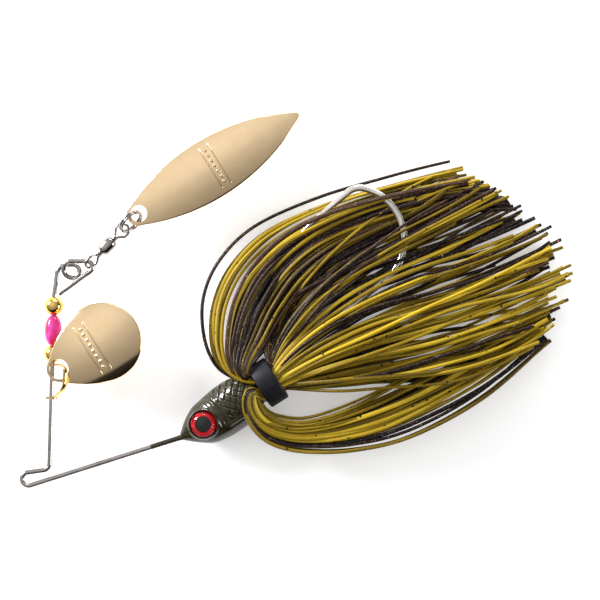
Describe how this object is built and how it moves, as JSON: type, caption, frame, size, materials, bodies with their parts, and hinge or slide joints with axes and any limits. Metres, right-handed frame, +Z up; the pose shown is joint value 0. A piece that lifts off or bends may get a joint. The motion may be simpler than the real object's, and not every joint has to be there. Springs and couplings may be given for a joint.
{
  "type": "fishing spinnerbait",
  "caption": "Tandem-blade fishing spinnerbait: bent wire frame, weighted head with hook and silicone skirt, beads, clevis blade and a swivelled willow-leaf blade.",
  "frame": {"origin": "middle of the outline in XY, at the lowest point that the lure lies on", "axes": "+Z up with the lure lying on its side, +X from the line tie towards the skirt tips, the wire frame and hook parallel to XY"},
  "size_m": [0.1004, 0.0675, 0.012],
  "materials": {
    "frame_wire": "bright stainless spring wire",
    "hook_steel": "bright nickel plated steel",
    "head_paint": "glossy dark olive paint over lead",
    "eye_foil": "red foil iris with a black pupil",
    "eye_dome": "clear domed resin",
    "band_rubber": "smooth black silicone rubber",
    "skirt_olive": "translucent olive yellow silicone with fine flakes",
    "skirt_dark": "dark brown silicone with copper flakes",
    "oval_bead": "translucent hot pink moulded plastic",
    "gold_bead": "polished gold plated brass",
    "clevis_gold": "gold plated brass strip",
    "blade_gold": "polished champagne gold plated brass",
    "swivel_nickel": "bright nickel",
    "ring_nickel": "bright nickel"
  },
  "bodies": {
    "root": {"wire_frame": "frame_wire", "hook": "hook_steel", "eye_foil_left": "eye_foil", "eye_dome_left": "eye_dome", "eye_foil_right": "eye_foil", "eye_dome_right": "eye_dome", "lead_head": "head_paint", "skirt_core": "skirt_dark", "skirt_band": "band_rubber", "skirt_fan_top_1": "skirt_olive", "skirt_fan_bottom_1": "skirt_dark", "skirt_fan_top_2": "skirt_olive", "skirt_fan_bottom_2": "skirt_dark", "skirt_fan_top_3": "skirt_olive", "skirt_fan_bottom_3": "skirt_dark", "skirt_fan_top_4": "skirt_olive", "skirt_fan_bottom_4": "skirt_dark", "skirt_upper_loop_top": "skirt_olive", "skirt_upper_loop_bottom": "skirt_dark", "skirt_lower_loop_top": "skirt_olive", "skirt_lower_loop_bottom": "skirt_olive"},
    "top_bead": {"top_bead": "gold_bead"},
    "oval_bead": {"oval_bead": "oval_bead"},
    "lower_bead": {"lower_bead": "gold_bead"},
    "clevis": {"clevis": "clevis_gold"},
    "colorado_blade": {"colorado_blade": "blade_gold"},
    "swivel_arm_eye": {"swivel_arm_eye": "swivel_nickel"},
    "swivel_barrel": {"swivel_barrel": "swivel_nickel"},
    "swivel_blade_eye": {"swivel_blade_eye": "swivel_nickel"},
    "split_ring": {"split_ring": "ring_nickel"},
    "willow_blade": {"willow_blade": "blade_gold"}
  },
  "joints": [
    {"name": "top_bead_spin", "type": "hinge", "parent": "root", "child": "top_bead", "pos_m": [-0.04401, -0.00118, 0.0044], "axis": [0.0279, 0.9996, 0], "continuous": true},
    {"name": "oval_bead_spin", "type": "hinge", "parent": "root", "child": "oval_bead", "pos_m": [-0.04414, -0.00557, 0.0044], "axis": [0.0279, 0.9996, 0], "continuous": true},
    {"name": "lower_bead_slide", "type": "slide", "parent": "root", "child": "lower_bead", "axis": [0.0279, 0.9996, 0], "range_m": [-0.009, 0]},
    {"name": "clevis_spin", "type": "hinge", "parent": "lower_bead", "child": "clevis", "pos_m": [-0.04439, -0.01467, 0.0044], "axis": [-0.0279, -0.9996, 0], "continuous": true},
    {"name": "colorado_swing", "type": "hinge", "parent": "clevis", "child": "colorado_blade", "pos_m": [-0.0428, -0.01244, 0.00685], "axis": [0, 0, 1], "range_deg": [-20, 10]},
    {"name": "swivel_swing", "type": "hinge", "parent": "root", "child": "swivel_arm_eye", "pos_m": [-0.03802, 0.00585, 0.00545], "axis": [0, 0, 1], "range_deg": [-6, 35]},
    {"name": "swivel_barrel_spin", "type": "hinge", "parent": "swivel_arm_eye", "child": "swivel_barrel", "pos_m": [-0.0343, 0.00963, 0.00545], "axis": [0.7009, 0.7133, 0], "continuous": true},
    {"name": "swivel_eye_spin", "type": "hinge", "parent": "swivel_barrel", "child": "swivel_blade_eye", "pos_m": [-0.0343, 0.00963, 0.00545], "axis": [0.7009, 0.7133, 0], "continuous": true},
    {"name": "split_ring_flap", "type": "hinge", "parent": "swivel_blade_eye", "child": "split_ring", "pos_m": [-0.03073, 0.01327, 0.00545], "axis": [-0.7063, 0.6941, 0.1392], "range_deg": [-20, 20]},
    {"name": "willow_swing", "type": "hinge", "parent": "split_ring", "child": "willow_blade", "pos_m": [-0.02862, 0.01541, 0.00545], "axis": [0, 0, 1], "range_deg": [-6, 40]}
  ]
}
